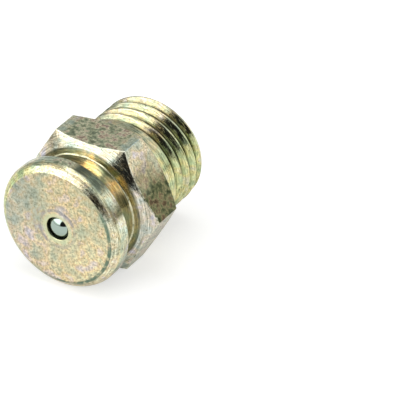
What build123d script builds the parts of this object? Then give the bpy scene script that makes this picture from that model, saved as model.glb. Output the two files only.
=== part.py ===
from build123d import *

import os
from math import atan2, cos, degrees, pi, radians, sqrt, tan

# A button-head grease nipple with its ball check valve, turned from hexagon bar. It lies on one of
# its flats: the axis runs along Y, with the coupling head at -Y and the threaded shank at +Y. The
# origin is on the axis, in the plane of the seat face behind the hexagon. Sizes are in millimetres.

# Button head, which the grease coupler hooks over
head_diameter = 16.0
head_thickness = 2.45
head_bevel_width = 1.0
head_bevel_length = 0.8

# Neck between the head and the hexagon
neck_length = 3.1
neck_diameter = 12.2
neck_root_chamfer = 0.5
neck_flare_length = 1.5
collar_diameter = 13.2

# Hexagon, with a cove down to the collar in front and turned chamfers at both ends
cove_length = 0.4
cove_diameter = 14.6
hexagon_length = 5.45
across_flats = 16.0
corner_flat = 0.05
chamfer_angle = 30.0
seat_face_diameter = 15.6

# Shank with its M14 x 1.5 right-hand thread, which runs out before the seat face
shank_length = 9.2
thread_diameter = 13.75
thread_pitch = 1.5
thread_depth = 0.92
thread_crest_width = 0.19
thread_root_width = 0.19
runout_start = 1.6
shank_chamfer_width = 0.45
shank_chamfer_length = 0.9

# Grease way, from the orifice in the head to the outlet in the end of the shank
orifice_diameter = 2.9
orifice_length = 0.55
seat_drill_angle = 118.0
chamber_side_gap = 0.35
outlet_shoulder = 0.45
outlet_chamfer = 0.4

# Ball, spring and retainer
ball_oversize = 0.6
seat_clearance = 0.03
spring_wire_diameter = 0.4
spring_wire_sides = 6
spring_side_gap = 0.25
spring_length = 6.4
spring_end_clearance = 0.03
spring_active_coils = 3
spring_end_pitch = 0.45
retainer_length = 1.8
retainer_wall = 0.5
retainer_lip = 0.45
retainer_clearance = 0.02

# How far a thread cutter stands proud of the shank, so that it leaves no skin
cutter_overlap = 0.1

# Stations along the axis, counted from the seat face
hexagon_front_y = -hexagon_length
collar_y = hexagon_front_y - cove_length
head_back_y = collar_y - neck_length
head_face_y = head_back_y - head_thickness

# The ball closes the orifice from inside. It seats on the orifice's inner edge, and its front stands
# just proud of the face
orifice_radius = orifice_diameter / 2
orifice_end_y = head_face_y + orifice_length
ball_radius = orifice_radius + ball_oversize / 2
ball_y = orifice_end_y + seat_clearance + sqrt(ball_radius**2 - orifice_radius**2)
chamber_radius = ball_radius + chamber_side_gap
seat_cone_end_y = orifice_end_y + (chamber_radius - orifice_radius) / tan(radians(seat_drill_angle / 2))

# The spring's first turn bears on the back of the ball, its last on the retainer's floor
wire_radius = spring_wire_diameter / 2
coil_radius = chamber_radius - spring_side_gap - wire_radius
coil_start_y = ball_y + spring_end_clearance + sqrt((ball_radius + wire_radius) ** 2 - coil_radius**2)
coil_end_y = coil_start_y + spring_length - spring_wire_diameter
spring_pitch = (spring_length - spring_wire_diameter - 2 * spring_end_pitch) / spring_active_coils

# The chamber ends in a shoulder that stops the retainer in the wider outlet bore
retainer_y = coil_end_y + wire_radius + spring_end_clearance
outlet_radius = chamber_radius + outlet_shoulder
retainer_radius = outlet_radius - retainer_clearance
retainer_hole_radius = coil_radius - wire_radius - retainer_lip

# Thread form: one groove between two crests
groove_mouth_width = thread_pitch - thread_crest_width
groove_slope = (groove_mouth_width - thread_root_width) / thread_depth
cutter_mouth_width = groove_mouth_width + groove_slope * cutter_overlap
thread_start_y = runout_start + thread_pitch
cutter_lift = thread_depth + cutter_overlap
runout_angle = degrees(atan2(cutter_lift, thread_pitch))

os.makedirs("parts", exist_ok=True)


def thread_cutter(path):
    """The thread groove swept along one stretch of helix about the Y axis."""
    start = path @ 0
    radial = Vector(start.X, 0, start.Z).normalized()
    with BuildPart() as cutter:
        with BuildSketch(Plane(origin=start, x_dir=radial, z_dir=path % 0)):
            with BuildLine():
                Polyline(
                    (-thread_depth, -thread_root_width / 2),
                    (cutter_overlap, -cutter_mouth_width / 2),
                    (cutter_overlap, cutter_mouth_width / 2),
                    (-thread_depth, thread_root_width / 2),
                    close=True,
                )
            make_face()
        sweep(path=path, is_frenet=True)
    return cutter.part


# The groove is cut one turn at a time, with one turn beyond the end of the shank
cutters = []
turn_y = thread_start_y
while turn_y < shank_length + thread_pitch / 2:
    turn = Helix(thread_pitch, thread_pitch, thread_diameter / 2, (0, turn_y, 0), (0, 1, 0))
    cutters.append(thread_cutter(turn))
    turn_y += thread_pitch

# Towards the seat face the cutter is drawn out of the work over its last turn. The pitch of a
# helix on a cone is counted along the slope
runout = Helix(
    thread_pitch / cos(radians(runout_angle)),
    thread_pitch,
    thread_diameter / 2 + cutter_lift,
    (0, runout_start, 0),
    (0, 1, 0),
    cone_angle=-runout_angle,
)
cutters.append(thread_cutter(runout))


with BuildPart() as nipple_body:
    # The hexagon bar, with flats up and down
    corner_radius = across_flats / 2 / cos(pi / 6) - corner_flat
    with BuildSketch(Plane(origin=(0, hexagon_front_y, 0), x_dir=(1, 0, 0), z_dir=(0, 1, 0))):
        RegularPolygon(across_flats / 2, 6, major_radius=False)
    extrude(amount=hexagon_length)

    # Both ends of the hexagon are turned to 30 degree cones, which leaves a curve on each flat
    chamfer_slope = tan(radians(chamfer_angle))
    front_chamfer_y = hexagon_front_y + (corner_radius - cove_diameter / 2) * chamfer_slope
    rear_chamfer_y = -(corner_radius - seat_face_diameter / 2) * chamfer_slope
    with BuildSketch(Plane.XY):
        with BuildLine():
            Polyline(
                (0, hexagon_front_y),
                (cove_diameter / 2, hexagon_front_y),
                (corner_radius, front_chamfer_y),
                (corner_radius, rear_chamfer_y),
                (seat_face_diameter / 2, 0),
                (0, 0),
                close=True,
            )
        make_face()
    revolve(axis=Axis.Y, mode=Mode.INTERSECT)

    # Head, neck and shank are turned on the same axis
    neck_radius = neck_diameter / 2
    head_radius = head_diameter / 2
    shank_radius = thread_diameter / 2
    flare_y = collar_y - neck_flare_length
    with BuildSketch(Plane.XY):
        with BuildLine():
            Polyline(
                (neck_radius, flare_y),
                (neck_radius, head_back_y + neck_root_chamfer),
                (neck_radius + neck_root_chamfer, head_back_y),
                (head_radius, head_back_y),
                (head_radius, head_face_y + head_bevel_length),
                (head_radius - head_bevel_width, head_face_y),
                (0, head_face_y),
                (0, shank_length),
                (shank_radius - shank_chamfer_width, shank_length),
                (shank_radius, shank_length - shank_chamfer_length),
                (shank_radius, hexagon_front_y),
                (cove_diameter / 2, hexagon_front_y),
                (collar_diameter / 2, collar_y),
            )
            TangentArc((neck_radius, flare_y), (collar_diameter / 2, collar_y), tangent=(0, 1))
        make_face()
    revolve(axis=Axis.Y)

    for cutter in cutters:
        add(cutter, mode=Mode.SUBTRACT)

    # The grease way is drilled from the shank, up to the orifice in the head
    with BuildSketch(Plane.XY):
        with BuildLine():
            Polyline(
                (0, head_face_y),
                (orifice_radius, head_face_y),
                (orifice_radius, orifice_end_y),
                (chamber_radius, seat_cone_end_y),
                (chamber_radius, retainer_y),
                (outlet_radius, retainer_y),
                (outlet_radius, shank_length - outlet_chamfer),
                (outlet_radius + outlet_chamfer, shank_length),
                (0, shank_length),
                close=True,
            )
        make_face()
    revolve(axis=Axis.Y, mode=Mode.SUBTRACT)

nipple_body.part.label = "nipple_body"
export_step(nipple_body.part, "parts/nipple_body.step")


with BuildPart() as check_ball:
    with BuildSketch(Plane.XY):
        with BuildLine():
            CenterArc((0, ball_y), ball_radius, -90, 180)
            Line((0, ball_y + ball_radius), (0, ball_y - ball_radius))
        make_face()
    revolve(axis=Axis.Y)

check_ball.part.label = "check_ball"
export_step(check_ball.part, "parts/check_ball.step")


with BuildPart() as valve_spring:
    # Round wire, drawn with a few sides: a closed turn at each end and the open turns between them
    with BuildLine() as coil:
        active_y = coil_start_y + spring_end_pitch
        active_length = spring_pitch * spring_active_coils
        Helix(spring_end_pitch, spring_end_pitch, coil_radius, (0, coil_start_y, 0), (0, 1, 0))
        Helix(spring_pitch, active_length, coil_radius, (0, active_y, 0), (0, 1, 0))
        Helix(spring_end_pitch, spring_end_pitch, coil_radius, (0, active_y + active_length, 0), (0, 1, 0))
    with BuildSketch(Plane(origin=coil.line @ 0, z_dir=coil.line % 0)):
        RegularPolygon(wire_radius, spring_wire_sides)
    sweep(path=coil.line, is_frenet=True, transition=Transition.TRANSFORMED)

valve_spring.part.label = "valve_spring"
export_step(valve_spring.part, "parts/valve_spring.step")


with BuildPart() as spring_retainer:
    # A pressed cup: its floor takes the spring, and its wall grips the outlet bore
    with BuildSketch(Plane.XY):
        with BuildLine():
            Polyline(
                (retainer_hole_radius, retainer_y),
                (retainer_radius, retainer_y),
                (retainer_radius, retainer_y + retainer_length),
                (retainer_radius - retainer_wall, retainer_y + retainer_length),
                (retainer_radius - retainer_wall, retainer_y + retainer_wall),
                (retainer_hole_radius, retainer_y + retainer_wall),
                close=True,
            )
        make_face()
    revolve(axis=Axis.Y)

spring_retainer.part.label = "spring_retainer"
export_step(spring_retainer.part, "parts/spring_retainer.step")
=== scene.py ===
from math import cos, pi, radians, sin, tan

import bmesh
import bpy
from mathutils import Matrix, Vector


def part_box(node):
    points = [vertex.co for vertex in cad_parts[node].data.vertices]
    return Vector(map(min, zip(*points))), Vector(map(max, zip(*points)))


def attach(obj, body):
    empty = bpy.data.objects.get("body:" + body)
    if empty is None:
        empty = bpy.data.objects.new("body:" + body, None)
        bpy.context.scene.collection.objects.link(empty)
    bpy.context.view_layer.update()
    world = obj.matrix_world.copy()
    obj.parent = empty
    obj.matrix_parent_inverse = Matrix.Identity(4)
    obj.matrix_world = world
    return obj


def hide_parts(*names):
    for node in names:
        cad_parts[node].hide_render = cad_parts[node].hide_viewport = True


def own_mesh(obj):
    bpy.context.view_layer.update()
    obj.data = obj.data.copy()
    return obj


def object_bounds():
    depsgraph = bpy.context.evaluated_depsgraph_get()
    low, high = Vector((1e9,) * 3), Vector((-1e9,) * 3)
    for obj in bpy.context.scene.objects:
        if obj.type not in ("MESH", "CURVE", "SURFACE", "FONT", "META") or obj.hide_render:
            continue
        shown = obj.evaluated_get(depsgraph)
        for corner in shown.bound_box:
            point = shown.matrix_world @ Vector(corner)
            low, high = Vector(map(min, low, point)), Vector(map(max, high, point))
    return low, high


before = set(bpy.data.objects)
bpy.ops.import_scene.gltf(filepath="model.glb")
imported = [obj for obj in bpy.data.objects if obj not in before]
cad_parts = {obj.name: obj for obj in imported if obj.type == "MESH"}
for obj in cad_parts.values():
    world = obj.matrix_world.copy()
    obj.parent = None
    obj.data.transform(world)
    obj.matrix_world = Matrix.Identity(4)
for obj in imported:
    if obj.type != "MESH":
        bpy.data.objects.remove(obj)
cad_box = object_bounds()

# Camera. It looks down on the head from its left front through a long lens, and the fitting lies to
# the left of the middle of the frame.
head_centre = Vector((0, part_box("nipple_body")[0].y, 0))
view_azimuth = radians(31.77)
view_elevation = radians(33.19)
view_roll = radians(-0.27)
view_right, view_up, view_distance = 0.01605, 0.00325, 0.3631

camera_data = bpy.data.cameras.new("camera")
camera_data.lens = 290.8
camera_data.sensor_width = 36
camera_data.clip_start = 0.01
camera = bpy.data.objects.new("camera", camera_data)
bpy.context.scene.collection.objects.link(camera)
turn = (
    Matrix.Rotation(view_azimuth, 4, "Z")
    @ Matrix.Rotation(pi / 2 - view_elevation, 4, "X")
    @ Matrix.Rotation(view_roll, 4, "Z")
)
step_back = Matrix.Translation((view_right, view_up, view_distance))
camera.matrix_world = Matrix.Translation(head_centre) @ turn @ step_back
bpy.context.scene.camera = camera

# Nipple body: one piece of hexagon bar, turned to its button head, neck and shank, drilled, and cut
# with its M14 x 1.5 thread. The sizes are in millimetres and the bar stands along Z until it is
# finished, with the seat face behind the hexagon at zero. It is zinc plated and yellow passivated.
face, bevel_end, head_back = -11.4, -10.6, -8.95
flare, collar, hexagon_front, shank_end = -6.52, -5.85, -5.45, 9.2
face_radius, head_radius = 7.0, 8.0
neck_radius, collar_radius, cove_radius = 6.1, 6.6, 7.3
half_flats = 8.0
half_corners = half_flats / cos(pi / 6)
chamfer_slope = tan(radians(30))
seat_radius, shank_radius = 7.8, 6.875

# The grease way: the orifice, the valve chamber with its drilled seat, and the outlet
orifice_radius, chamber_radius, outlet_radius = 1.45, 2.1, 2.55
orifice_end, chamber_front, retainer_seat = -10.85, -10.46, -2.54
ring_groove_radius, ring_groove_depth = 2.45, 0.04

# Every corner of half the turned section: its radius, its station, and how much its edge is broken
turned_section = [
    (orifice_radius, face, 0.1),
    (ring_groove_radius - 0.09, face, 0.03),
    (ring_groove_radius, face + ring_groove_depth, 0.03),
    (ring_groove_radius + 0.09, face, 0.03),
    (face_radius, face, 0.2),
    (head_radius, bevel_end, 0.55),
    (head_radius, head_back, 0.1),
    (neck_radius + 0.5, head_back, 0.2),
    (neck_radius, head_back + 0.5, 0.3),
    (neck_radius, flare, 0.8),
    (collar_radius, collar, 0.06),
    (collar_radius + 0.1, collar + 0.08, 0.04),
    (cove_radius, hexagon_front, 0.08),
    (half_corners, hexagon_front + (half_corners - cove_radius) * chamfer_slope, 0),
    (half_corners, -(half_corners - seat_radius) * chamfer_slope, 0),
    (seat_radius, 0, 0.08),
    (shank_radius, 0, 0.06),
    (shank_radius, shank_end - 0.9, 0.08),
    (shank_radius - 0.45, shank_end, 0.08),
    (outlet_radius + 0.4, shank_end, 0.06),
    (outlet_radius, shank_end - 0.4, 0.06),
    (outlet_radius, retainer_seat, 0),
    (chamber_radius, retainer_seat, 0),
    (chamber_radius, chamber_front, 0),
    (orifice_radius, orifice_end, 0),
]


def corner_at(mesh, radius, station):
    """The vertex of the flat section that is nearest to a radius and a station."""
    return min(mesh.verts, key=lambda v: (v.co - Vector((radius, 0, station))).length)


def revolved(name, section, steps):
    """A closed section of (radius, station, broken edge), drawn point by point and spun about Z."""
    bpy.ops.object.select_all(action="DESELECT")
    bpy.ops.mesh.primitive_plane_add(size=1)
    piece = bpy.context.object
    piece.name = name
    bpy.ops.object.mode_set(mode="EDIT")
    bpy.ops.mesh.select_mode(type="VERT")
    bpy.ops.mesh.select_all(action="SELECT")
    bpy.ops.mesh.merge(type="CENTER")
    at = Vector((0, 0, 0))
    for i, (radius, station, _) in enumerate(section):
        move = Vector((radius, 0, station)) - at
        if i == 0:
            bpy.ops.transform.translate(value=move)
        else:
            bpy.ops.mesh.extrude_region_move(TRANSFORM_OT_translate={"value": move})
        at += move
    mesh = bmesh.from_edit_mesh(piece.data)
    corner_at(mesh, *section[0][:2]).select = True
    bmesh.update_edit_mesh(piece.data)
    bpy.ops.mesh.edge_face_add()
    for radius, station, broken in section:
        if broken == 0:
            continue
        bpy.ops.mesh.select_all(action="DESELECT")
        mesh = bmesh.from_edit_mesh(piece.data)
        corner_at(mesh, radius, station).select = True
        bmesh.update_edit_mesh(piece.data)
        bpy.ops.mesh.bevel(offset=broken, segments=3 if broken < 0.4 else 10, affect="VERTICES")
    bpy.ops.mesh.select_all(action="SELECT")
    bpy.ops.mesh.spin(steps=steps, angle=2 * pi, center=(0, 0, 0), axis=(0, 0, 1))
    bpy.ops.mesh.select_all(action="SELECT")
    bpy.ops.mesh.remove_doubles(threshold=0.0001)
    bpy.ops.mesh.normals_make_consistent(inside=False)
    bpy.ops.object.mode_set(mode="OBJECT")
    return piece


def cut_away(piece, cutter):
    """Cuts the cutter's shape out of the piece, and throws the cutter away."""
    cut = piece.modifiers.new("cut", "BOOLEAN")
    cut.operation = "DIFFERENCE"
    cut.solver = "EXACT"
    cut.object = cutter
    bpy.ops.object.select_all(action="DESELECT")
    piece.select_set(True)
    bpy.context.view_layer.objects.active = piece
    bpy.ops.object.modifier_apply(modifier="cut")
    bpy.data.objects.remove(cutter)


def lay_down(piece):
    """Lays a piece made in millimetres along Z down along Y, in metres, with its place in its mesh."""
    bpy.ops.object.select_all(action="DESELECT")
    piece.select_set(True)
    bpy.context.view_layer.objects.active = piece
    piece.rotation_euler = (-pi / 2, 0, 0)
    piece.scale = (0.001, 0.001, 0.001)
    bpy.ops.object.transform_apply(location=True, rotation=True, scale=True)


def wind(steps, rise, turn_steps, inwards=0):
    """Draws the selected section out along a right-hand helix about Z, in short steps."""
    for _ in range(steps):
        bpy.ops.mesh.extrude_region_move()
        bpy.ops.transform.rotate(value=-2 * pi / turn_steps, orient_axis="Z", center_override=(0, 0, 0))
        mesh = bmesh.from_edit_mesh(bpy.context.object.data)
        out = next(v.co for v in mesh.verts if v.select).xy.normalized() * (inwards / steps)
        bpy.ops.transform.translate(value=(-out.x, -out.y, rise / steps))


body = revolved("nipple_body_turned", turned_section, 192)

# The six flats: a thick hexagonal ring, with its inner corners eased, is cut away from the blank
ring_length, ring_wall, ring_middle = 8, 4, -2.7
bpy.ops.object.select_all(action="DESELECT")
bpy.ops.mesh.primitive_cylinder_add(
    vertices=6,
    radius=half_corners,
    depth=ring_length,
    end_fill_type="NOTHING",
    location=(0, 0, ring_middle),
)
ring = bpy.context.object
bpy.ops.object.mode_set(mode="EDIT")
bpy.ops.mesh.select_mode(type="EDGE")
bpy.ops.mesh.select_all(action="DESELECT")
mesh = bmesh.from_edit_mesh(ring.data)
for edge in mesh.edges:
    edge.select = abs(edge.verts[0].co.z - edge.verts[1].co.z) > 1
bmesh.update_edit_mesh(ring.data)
bpy.ops.mesh.bevel(offset=0.05, segments=3, affect="EDGES")
bpy.ops.mesh.select_all(action="SELECT")
bpy.ops.mesh.normals_make_consistent(inside=False)
bpy.ops.object.mode_set(mode="OBJECT")
wall = ring.modifiers.new("wall", "SOLIDIFY")
wall.thickness = ring_wall
wall.offset = 1
bpy.ops.object.modifier_apply(modifier="wall")
ring.rotation_euler.z = pi / 6
bpy.ops.object.transform_apply(location=True, rotation=True, scale=True)
cut_away(body, ring)

# The plating rounds the edges between the flats and the turned chamfers
bpy.ops.object.mode_set(mode="EDIT")
bpy.ops.mesh.select_mode(type="EDGE")
bpy.ops.mesh.select_all(action="SELECT")
bpy.ops.mesh.remove_doubles(threshold=0.0001)
bpy.ops.mesh.select_all(action="DESELECT")
mesh = bmesh.from_edit_mesh(body.data)
for edge in mesh.edges:
    round_hexagon = all(
        v.co.xy.length > half_flats - 0.1 and hexagon_front + 0.05 < v.co.z < -0.05 for v in edge.verts
    )
    edge.select = round_hexagon and edge.calc_face_angle() > radians(20)
bmesh.update_edit_mesh(body.data)
bpy.ops.mesh.bevel(offset=0.07, segments=2, affect="EDGES", clamp_overlap=False)
bpy.ops.object.mode_set(mode="OBJECT")

# The thread: the shape of one groove is drawn out, a step at a time, along the helix that the tool
# cuts. Over its first turn it comes into the work from outside, and it leaves past the shank's end.
pitch, groove_depth, crest, root = 1.5, 0.92, 0.19, 0.19
runout_start, runout_lift = 1.6, 1.02
groove_turns, groove_steps = 5, 96
mouth = pitch - crest
flank_slope = (mouth - root) / 2 / groove_depth

# Half the groove, as (out from the crest, along the bar): the round root, the flank and the eased crest
half_groove = [
    (-0.892, 0.0),
    (-0.880, 0.068),
    (-0.845, 0.129),
    (-0.796, 0.171),
    (-0.07, mouth / 2 - 0.07 * flank_slope),
    (-0.025, mouth / 2 + 0.005),
    (-0.004, mouth / 2 + 0.05),
    (0.25, mouth / 2 + 0.075),
]
groove = [(r, -z) for r, z in half_groove[1:]] + [(r, z) for r, z in reversed(half_groove)]
bpy.ops.object.select_all(action="DESELECT")
bpy.ops.mesh.primitive_circle_add(vertices=len(groove), fill_type="NGON")
tool = bpy.context.object
for vertex, (out, along) in zip(tool.data.vertices, groove):
    vertex.co = (0, -(shank_radius + runout_lift + out), runout_start + along)
bpy.ops.object.mode_set(mode="EDIT")
bpy.ops.mesh.select_mode(type="FACE")
bpy.ops.mesh.select_all(action="SELECT")
wind(groove_steps, pitch, groove_steps, inwards=runout_lift)
wind(groove_turns * groove_steps, groove_turns * pitch, groove_steps)
bpy.ops.mesh.select_all(action="SELECT")
bpy.ops.mesh.normals_make_consistent(inside=False)
bpy.ops.object.mode_set(mode="OBJECT")
cut_away(body, tool)
lay_down(body)
bpy.ops.object.shade_smooth_by_angle(angle=radians(28))
even = body.modifiers.new("even", "WEIGHTED_NORMAL")
even.keep_sharp = True
bpy.ops.object.modifier_apply(modifier="even")
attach(body, "fitting")
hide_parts("nipple_body")


class Wire:
    """A value that runs between the nodes of a finish. Sums on it add Math nodes."""

    def __init__(self, socket):
        self.socket = socket

    def node(self, kind, settings=None, inputs=None, output=0):
        """Adds a node: first its settings, then the values or wires of its sockets."""
        made = self.socket.id_data.nodes.new(kind)
        for name, value in (settings or {}).items():
            if name == "stops":
                ramp = made.color_ramp
                for place, _ in value[len(ramp.elements):]:
                    ramp.elements.new(place)
                for stop, (place, colour) in zip(ramp.elements, value):
                    stop.position = place
                    stop.color = (*colour, 1) if len(colour) == 3 else colour
            else:
                setattr(made, name, value)
        for name, value in (inputs or {}).items():
            socket = made.inputs[name]
            if isinstance(value, Wire):
                self.socket.id_data.links.new(value.socket, socket)
            else:
                socket.default_value = value
        return Wire(made.outputs[output])

    def math(self, operation, *values):
        return self.node("ShaderNodeMath", {"operation": operation}, dict(enumerate(values)))

    def __add__(self, other):
        return self.math("ADD", self, other)

    def __sub__(self, other):
        return self.math("SUBTRACT", self, other)

    def __mul__(self, other):
        return self.math("MULTIPLY", self, other)

    def __truediv__(self, other):
        return self.math("DIVIDE", self, other)

    def __rsub__(self, other):
        return self.math("SUBTRACT", other, self)

    def __rtruediv__(self, other):
        return self.math("DIVIDE", other, self)

    __radd__ = __add__
    __rmul__ = __mul__

    def step(self, start, end):
        """0 at start and 1 at end, with a smooth rise between them."""
        return self.node(
            "ShaderNodeMapRange",
            {"interpolation_type": "SMOOTHSTEP"},
            {"Value": self, "From Min": start, "From Max": end},
        )

    def band(self, low, high, soft=0.05):
        """1 between two values and 0 outside them, with soft edges."""
        return self.step(low - soft, low) * (1 - self.step(high, high + soft))

    def noise(self, scale, detail, roughness):
        """Cloudy noise on this place, about 0.5, with so many patches to the millimetre."""
        inputs = {"Vector": self, "Scale": scale, "Detail": detail, "Roughness": roughness}
        return self.node("ShaderNodeTexNoise", {}, inputs)

    def ramp(self, *stops):
        return self.node("ShaderNodeValToRGB", {"stops": stops}, {"Fac": self})

    def mix(self, start, end, blend="MIX"):
        """start where this is 0 and end where it is 1, as colours."""
        colours = [(*c, 1) if isinstance(c, tuple) else c for c in (start, end)]
        settings = {"data_type": "RGBA", "blend_type": blend}
        return self.node("ShaderNodeMix", settings, {0: self, 6: colours[0], 7: colours[1]}, output=2)

    def mix_in(self, colour, blend):
        """This colour blended over another one."""
        settings = {"data_type": "RGBA", "blend_type": blend}
        return self.node("ShaderNodeMix", settings, {0: 1.0, 6: colour, 7: self}, output=2)


def largest(first, *others):
    """The largest of some values at each place."""
    for other in others:
        first = first.math("MAXIMUM", first, other)
    return first


def new_finish(name):
    """A metal finish with its Principled node, and the place on the piece in millimetres."""
    finish = bpy.data.materials.new(name)
    finish.use_nodes = True
    shader = finish.node_tree.nodes["Principled BSDF"]
    shader.inputs["Metallic"].default_value = 1
    start = Wire(finish.node_tree.nodes.new("ShaderNodeTexCoord").outputs["Object"])
    place = start.node("ShaderNodeVectorMath", {"operation": "SCALE"}, {"Vector": start, "Scale": 1000})
    return finish, shader, place


def feed(shader, name, wire):
    shader.id_data.links.new(wire.socket, shader.inputs[name])


plated, shader, place = new_finish("plated_steel")
split = place.node("ShaderNodeSeparateXYZ", {}, {"Vector": place}).socket.node
x, y, z = (Wire(s) for s in split.outputs)
radius = place.math("SQRT", x * x + z * z)
side, up = x / radius, z / radius

# Which turned surface a place is on, from its station along the bar and its radius
on_face = 1 - y.step(face + 0.02, face + 0.06)
on_head = 1 - y.step(head_back - 0.1, head_back)
on_rim = on_head * radius.step(head_radius - 0.15, head_radius - 0.02)
on_bevel = on_head * radius.step(face_radius, face_radius + 0.1)
on_bevel = on_bevel * (1 - radius.step(head_radius - 0.3, head_radius - 0.1))
on_neck = y.step(head_back, head_back + 0.05) * (1 - y.step(hexagon_front - 0.05, hexagon_front + 0.05))
on_neck = on_neck * (1 - radius.step(cove_radius - 0.05, cove_radius + 0.1))
on_thread = y.step(0.1, 0.4)
on_end_face = y.step(shank_end - 0.1, shank_end - 0.03)

# Turning marks: fine rings that follow the radius on the faces and the station on the sides
across = place.node("ShaderNodeCombineXYZ", {}, {"X": radius * 0.9 + y, "Y": side * 0.8, "Z": up * 0.8})
rings = across.noise(5, 3, 0.7)
scratches = across.noise(7, 2, 0.6).step(0.58, 0.66)

# The passivation film changes its colour over a few millimetres. It is greener in flecks, most of all
# beside the orifice. Its mottling and the steel's etched grain are finer
drift = place.noise(0.3, 2, 0.5)
mottle = place.noise(1.3, 4, 0.65)
grain = place.noise(3, 4, 0.85)
hue = place.noise(0.8, 1.5, 0.5)
film = drift * 0.4 + hue * 0.6 + on_face * 0.01
colour = film.ramp(
    (0.36, (0.52, 0.56, 0.39)),
    (0.43, (0.67, 0.66, 0.44)),
    (0.49, (0.81, 0.73, 0.46)),
    (0.55, (0.87, 0.70, 0.40)),
    (0.61, (0.86, 0.72, 0.55)),
    (0.68, (0.74, 0.68, 0.62)),
)
sideways, upwards = x + 2.4, z - 0.4
beside_orifice = on_face * (1 - (sideways * sideways + upwards * upwards).step(0.3, 5))
greenish = (1 - drift.step(0.40, 0.52)) * 0.5 + beside_orifice * 0.8
green_flecks = place.noise(3, 2, 0.6).step(0.40, 0.62) * greenish
colour = (green_flecks * 0.8).mix(colour, (0.44, 0.50, 0.38))

# How far a place is out on each pair of flats. The bar lies on the flat at the bottom
across_top, across_right, across_left = z, x * cos(pi / 6) + z * 0.5, x * -cos(pi / 6) + z * 0.5
along_right = x * 0.5 - z * cos(pi / 6)
flats = largest(*(out.math("ABSOLUTE", out) for out in (across_top, across_right, across_left)))
flats = flats.step(half_flats - 0.15, half_flats - 0.03)
top_flat = across_top.step(half_flats - 0.1, half_flats - 0.03)
right_flat = across_right.step(half_flats - 0.1, half_flats - 0.03)
# Painted reflections: blue-grey strips at both ends of the top flat, standing in for its rounded corners
# mirroring the room
painted_corner_reflections = top_flat * (x.step(3.4, 3.7) + (1 - x.step(-3.7, -3.4)))
browned = right_flat * (along_right + drift * 6).step(-0.5, 4.5)
on_cone = y.band(hexagon_front - 0.1, hexagon_front + 1.65) * (1 - flats)

# Each surface tints that film: the face is greyer at its left and paler at its bottom, the bevel palest,
# the rim and the cone bluer, with a painted highlight on the rim's right side. The neck is painted dark
# as the shade between the head and the hexagon, with painted golden highlights. The thread is painted
# darker at its left as shade and is greener at its right, and the ends of the top flat carry painted
# blue-grey reflections
leaning = side * sin(radians(27)) + up * cos(radians(27))
# Painted golden highlight on the neck, where its surface faces up and a little to the right
painted_neck_highlight = leaning.step(0.85, 0.95) * drift.step(0.40, 0.52)
tints = (
    (on_face * (1 - x.step(-6, 1)), (0.82, 0.86, 1.02)),
    (on_face * z.step(-1, 5), (0.91, 0.91, 0.90)),
    (on_face * (1 - z.step(-6, 0)), (1.08, 1.05, 1.06)),
    (on_bevel * 0.7, (1.08, 1.12, 1.3)),
    (on_bevel * (1 - x.step(-5.5, -1)), (0.84, 0.95, 0.66)),
    (on_rim, (0.90, 1.02, 1.14)),
    # painted highlight on the rim's right side
    (on_rim * side.step(0.60, 0.78) * up.step(-0.1, 0.3), (1.42, 1.40, 1.50)),
    # Painted shade on the neck, in the recess between the head and the hexagon, darkest at its left and
    # lifted to gold where the highlight is painted
    (on_neck * (1 - painted_neck_highlight), (0.33, 0.34, 0.25)),
    (on_neck * (1 - side.step(-0.8, 0.2)), (0.62, 0.60, 0.62)),
    (on_neck * painted_neck_highlight, (0.92, 0.70, 0.42)),
    (on_cone, (0.86, 0.92, 1.14)),
    (on_cone * side.step(0.6, 0.9), (0.96, 0.99, 1.10)),
    (on_thread, (0.88, 0.92, 0.95)),
    # painted shade on the thread's left side
    (on_thread * (1 - side.step(-0.7, 0.2)), (0.67, 0.68, 0.70)),
    (on_thread * side.step(0.56, 0.95), (1.12, 1.20, 0.98)),
    # painted blue-grey reflections at the ends of the top flat
    (painted_corner_reflections * 0.7, (0.80, 0.96, 1.2)),
    (right_flat * (1 - browned), (1.0, 1.04, 1.2)),
)
for where, tint in tints:
    colour = where.mix(colour, tint, "MULTIPLY")

# The flats are drawn bar, with an olive and brown film. Painted highlights run along their front edges,
# broken in patches, and along the collar's edge
flat_film = (mottle * 0.6 + hue * 0.4).ramp(
    (0.41, (0.17, 0.22, 0.14)),
    (0.47, (0.44, 0.50, 0.33)),
    (0.52, (0.78, 0.75, 0.54)),
    (0.57, (0.62, 0.47, 0.37)),
    (0.62, (0.28, 0.20, 0.15)),
)
brown_film = browned.mix((0.5, 0.55, 0.5), (0.34, 0.33, 0.24)).mix_in(flat_film, "MULTIPLY")
# Painted highlight: a pale line round the collar's edge
collar_edge_highlight = y.band(collar - 0.05, collar + 0.06, 0.03)
collar_edge_highlight = collar_edge_highlight * (1 - radius.step(collar_radius + 0.15, collar_radius + 0.25))
from_cone = y - hexagon_front - (radius - cove_radius) * chamfer_slope
# Painted highlight along the front edges of the flats, broken by mottling
painted_edge_highlight = flats * from_cone.band(-0.05, 0.1, 0.04) * mottle.step(0.35, 0.5)
colour = (flats * (1 - right_flat) * (1 - painted_corner_reflections) * 0.85).mix(colour, flat_film)
colour = browned.mix(colour, brown_film)
colour = (collar_edge_highlight * 0.8).mix(colour, (0.85, 0.82, 0.58))
colour = (painted_edge_highlight * 0.7).mix(colour, (0.88, 0.88, 0.74))

# The etched grain makes all of it lighter and darker, less so on the turned sides. Fine dark pits lie
# all over, and streaks follow the turning marks on the sides
etched = grain.step(0.38, 0.62).mix((0.66, 0.67, 0.66), (1.32, 1.30, 1.30)).mix_in(colour, "MULTIPLY")
turned_sides = (1 - on_face) * (1 - flats)
colour = (1 - turned_sides * 0.6 + on_bevel * 0.6).mix(colour, etched)
pits = place.noise(4.2, 2, 0.6).step(0.60, 0.68)
colour = (pits * 0.75).mix(colour, (0.15, 0.15, 0.08))
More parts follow.
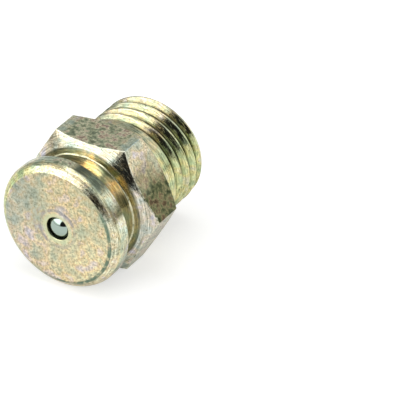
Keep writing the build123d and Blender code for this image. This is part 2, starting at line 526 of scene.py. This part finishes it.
# Painted dark reflection: streaks over the top of the rim, following the turning marks
painted_rim_reflection = on_rim * leaning.step(0.94, 0.985) * rings.step(0.34, 0.46)
colour = (painted_rim_reflection * 0.9).mix(colour, (0.10, 0.12, 0.09))
streaks = rings.step(0.34, 0.66).mix((0.58, 0.60, 0.55), (1.30, 1.29, 1.28)).mix_in(colour, "MULTIPLY")
colour = turned_sides.mix(colour, streaks)

# Rings left by the turning tool round the orifice, and a dark green line along the right and lower edge
# of the face
pale_ring = on_face * (1 - radius.step(1.8, 2.1))
colour = (pale_ring * 0.6).mix(colour, (0.72, 0.80, 0.50))
grey_rings = radius.band(2.25, 2.5, 0.15) * 0.7 + radius.band(3.0, 3.15, 0.2) * 0.4
grey_rings = on_face * grey_rings * film.step(0.40, 0.60)
colour = grey_rings.mix(colour, (0.34, 0.34, 0.36))
dark_edge_line = y.band(face - 0.1, face + 0.3) * radius.band(face_radius - 0.15, face_radius + 0.1, 0.12)
dark_edge_line = dark_edge_line * (x - z * 0.7).step(-1, 6) * (mottle.step(0.38, 0.52) * 0.6 + 0.3)
colour = dark_edge_line.mix(colour, (0.10, 0.19, 0.14))

# The thread's lower flanks are painted darker than its crests and its roots nearly black, as painted
# shade in the grooves, reaching further up the flanks on the left. The orifice's wall is painted nearly
# black, as painted shade inside the hole
on_left = 1 - side.step(-0.7, 0.1)
painted_root_shade = on_thread * (1 - on_end_face) * (radius - on_left * 0.22).band(5.4, 6.1, 0.25)
painted_flank_shade = on_thread * (1 - on_end_face) * (1 - radius.step(6.15, 6.8))
# Painted shade: the orifice's wall inside the hole is nearly black
painted_orifice_shade = 1 - radius.step(orifice_radius - 0.01, orifice_radius + 0.05)
painted_orifice_shade = painted_orifice_shade * y.step(face + 0.03, face + 0.12)
colour = painted_flank_shade.mix(colour, (0.74, 0.76, 0.66), "MULTIPLY")
colour = on_end_face.mix(colour, (0.86, 0.85, 0.92), "MULTIPLY")
colour = (painted_root_shade * 0.95).mix(colour, (0.04, 0.04, 0.025))
colour = painted_orifice_shade.mix(colour, (0.05, 0.055, 0.05))
feed(shader, "Base Color", colour)

grain_depth = 0.01 + on_bevel * 0.03 + on_rim * 0.02
relief = rings * 0.012 + grain * grain_depth + mottle * 0.01 + scratches * 0.008
bump = place.node("ShaderNodeBump", {}, {"Height": relief, "Strength": 0.6, "Distance": 0.001})
feed(shader, "Normal", bump)
feed(shader, "Roughness", 0.06 + mottle * 0.12 + flats * 0.1)
body.data.materials.append(plated)

# Check ball: a hardened and polished bearing ball. It closes the orifice from inside, and the coupler's
# grease pushes it back off its seat.
ball_radius, ball_station, ball_cuts = 1.75, -9.8402, 31
bpy.ops.object.select_all(action="DESELECT")
bpy.ops.mesh.primitive_cube_add(size=2)
ball = bpy.context.object
ball.name = "check_ball_polished"
bpy.ops.object.mode_set(mode="EDIT")
bpy.ops.mesh.select_all(action="SELECT")
bpy.ops.mesh.subdivide(number_cuts=ball_cuts)
bpy.ops.transform.tosphere(value=1)
mesh = bmesh.from_edit_mesh(ball.data)
size = ball_radius / next(iter(mesh.verts)).co.length
bpy.ops.transform.resize(value=(size, size, size))
bpy.ops.transform.translate(value=(0, 0, ball_station))
bpy.ops.object.mode_set(mode="OBJECT")
lay_down(ball)
bpy.ops.object.shade_smooth()
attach(ball, "ball")
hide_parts("check_ball")

polished, shader, place = new_finish("polished_ball_steel")
shader.inputs["Base Color"].default_value = (0.44, 0.55, 0.48, 1)
smears = place.noise(1.5, 3, 0.6)
feed(shader, "Roughness", 0.01 + smears * 0.06)
ball.data.materials.append(polished)

# Valve spring: round spring wire with a closed turn at each end and three open turns between them. It
# bears on the back of the ball and on the retainer's floor, and shortens when the ball is pushed in.
coil_radius, wire_radius = 1.65, 0.2
coil_start, closed_pitch, open_pitch = -8.77097, 0.45, 1.7
open_turns, coil_steps, wire_sides = 3, 48, 16
bpy.ops.object.select_all(action="DESELECT")
bpy.ops.mesh.primitive_circle_add(
    vertices=wire_sides,
    radius=wire_radius,
    fill_type="NGON",
    location=(0, -coil_radius, coil_start),
    rotation=(0, pi / 2, 0),
)
spring = bpy.context.object
spring.name = "valve_spring_wire"
bpy.ops.object.transform_apply(location=True, rotation=True, scale=True)
bpy.ops.object.mode_set(mode="EDIT")
bpy.ops.mesh.select_mode(type="FACE")
bpy.ops.mesh.select_all(action="SELECT")
wind(coil_steps, closed_pitch, coil_steps)
wind(open_turns * coil_steps, open_turns * open_pitch, coil_steps)
wind(coil_steps, closed_pitch, coil_steps)
bpy.ops.mesh.select_all(action="SELECT")
bpy.ops.mesh.normals_make_consistent(inside=False)
bpy.ops.object.mode_set(mode="OBJECT")
lay_down(spring)
bpy.ops.object.shade_smooth_by_angle(angle=radians(40))
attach(spring, "fitting")
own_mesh(spring)
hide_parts("valve_spring")

drawn_wire, shader, place = new_finish("drawn_spring_wire")
draw_marks = place.noise(3, 4, 0.7)
feed(shader, "Base Color", draw_marks.ramp((0.35, (0.36, 0.35, 0.33)), (0.65, (0.52, 0.51, 0.48))))
feed(shader, "Roughness", 0.2 + draw_marks * 0.2)
spring.data.materials.append(drawn_wire)

# Spring retainer: a cup pressed from sheet steel, forced into the outlet against its shoulder. Its
# floor holds the spring, and the grease leaves through its hole.
cup_front, cup_back, cup_wall = -2.541, -0.741, 0.5
cup_radius, hole_radius = 2.53, 1.0
cup_section = [
    (hole_radius, cup_front, 0.08),
    (cup_radius, cup_front, 0.2),
    (cup_radius, cup_back, 0.06),
    (cup_radius - cup_wall, cup_back, 0.06),
    (cup_radius - cup_wall, cup_front + cup_wall, 0.12),
    (hole_radius, cup_front + cup_wall, 0.12),
]
retainer = revolved("spring_retainer_cup", cup_section, 96)
lay_down(retainer)
bpy.ops.object.shade_smooth_by_angle(angle=radians(28))
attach(retainer, "fitting")
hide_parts("spring_retainer")

pressed, shader, place = new_finish("pressed_sheet_steel")
rolled = place.noise(2.5, 4, 0.7)
feed(shader, "Base Color", rolled.ramp((0.35, (0.42, 0.41, 0.39)), (0.65, (0.60, 0.59, 0.56))))
feed(shader, "Roughness", 0.25 + rolled * 0.2)
retainer.data.materials.append(pressed)

# Floor: a plain pale sheet that the fitting lies on, on one of its flats. It keeps the fitting's
# shadow, and to the camera and in polished metal it looks nearly white.
bpy.ops.object.select_all(action="DESELECT")
bpy.ops.mesh.primitive_plane_add(size=3, location=(0, 0, cad_box[0][2]))
floor = bpy.context.object
floor.name = "floor"
sheet = bpy.data.materials.new("floor_sheet")
sheet.use_nodes = True
sheet_shader = sheet.node_tree.nodes["Principled BSDF"]
sheet_shader.inputs["Base Color"].default_value = (0.6, 0.6, 0.6, 1)
sheet_shader.inputs["Roughness"].default_value = 1
sheet_shader.inputs["Specular IOR Level"].default_value = 0
sheet_shader.inputs["Emission Color"].default_value = (1, 1, 1, 1)
rays = sheet.node_tree.nodes.new("ShaderNodeLightPath").outputs
by_camera = Wire(rays["Is Camera Ray"])
in_metal_too = by_camera + Wire(rays["Is Glossy Ray"]) + Wire(rays["Is Transmission Ray"])
feed(sheet_shader, "Emission Strength", by_camera * 0.25 + in_metal_too * 0.32)
floor.data.materials.append(sheet)

# Studio: a grey room with paler walls at the right rear and the left front and a few dark places, a
# large soft box above, and one at the front left that the head's bevel and the hexagon's chamfer reflect.
studio = bpy.data.worlds.new("studio")
studio.use_nodes = True
bpy.context.scene.world = studio
room = Wire(studio.node_tree.nodes.new("ShaderNodeTexCoord").outputs["Generated"])


def toward(bearing, elevation, inner, outer):
    """1 in a round part of the room and 0 outside it. The bearing is counted from +Y towards +X."""
    flat = cos(radians(elevation))
    centre = (sin(radians(bearing)) * flat, cos(radians(bearing)) * flat, sin(radians(elevation)))
    settings = {"operation": "DOT_PRODUCT"}
    nearness = room.node("ShaderNodeVectorMath", settings, {0: room, 1: centre}, output="Value")
    return nearness.step(cos(radians(outer)), cos(radians(inner)))


above_floor = room.node("ShaderNodeSeparateXYZ", {}, {"Vector": room}, output="Z")
dark = largest(
    toward(160, 14, 19, 25),
    toward(88, 5, 4, 30) * 0.75,
    toward(3, 46, 12, 26) * 0.3,
    toward(16, 1, 9, 17) * 0.9,
    1 - above_floor.step(0.015, 0.045),
)
light = largest(toward(58, 27, 42, 58), toward(-135, 15, 36, 42))
room_light = light.mix((0.54, 0.55, 0.54), (0.95, 0.95, 0.93))
room_light = dark.mix(room_light, (0.02, 0.02, 0.02))
studio.node_tree.links.new(room_light.socket, studio.node_tree.nodes["Background"].inputs["Color"])


def soft_box(name, position, width, height, brightness):
    """A rectangular lamp that faces the fitting. Its brightness is that of its own face."""
    lamp_data = bpy.data.lights.new(name, "AREA")
    lamp_data.shape = "RECTANGLE"
    lamp_data.size = width
    lamp_data.size_y = height
    lamp_data.energy = brightness * pi * width * height
    lamp = bpy.data.objects.new(name, lamp_data)
    bpy.context.scene.collection.objects.link(lamp)
    position = Vector(position)
    facing = (-position).to_track_quat("-Z", "Y").to_matrix().to_4x4()
    lamp.matrix_world = Matrix.Translation(position) @ facing


soft_box("soft_box_above", (0, 0.02, 0.5), 0.34, 0.34, 1.9)
soft_box("soft_box_front_left", (-0.195, -0.278, 0.212), 0.5, 0.3, 1.25)

bpy.context.scene.view_settings.view_transform = "Standard"
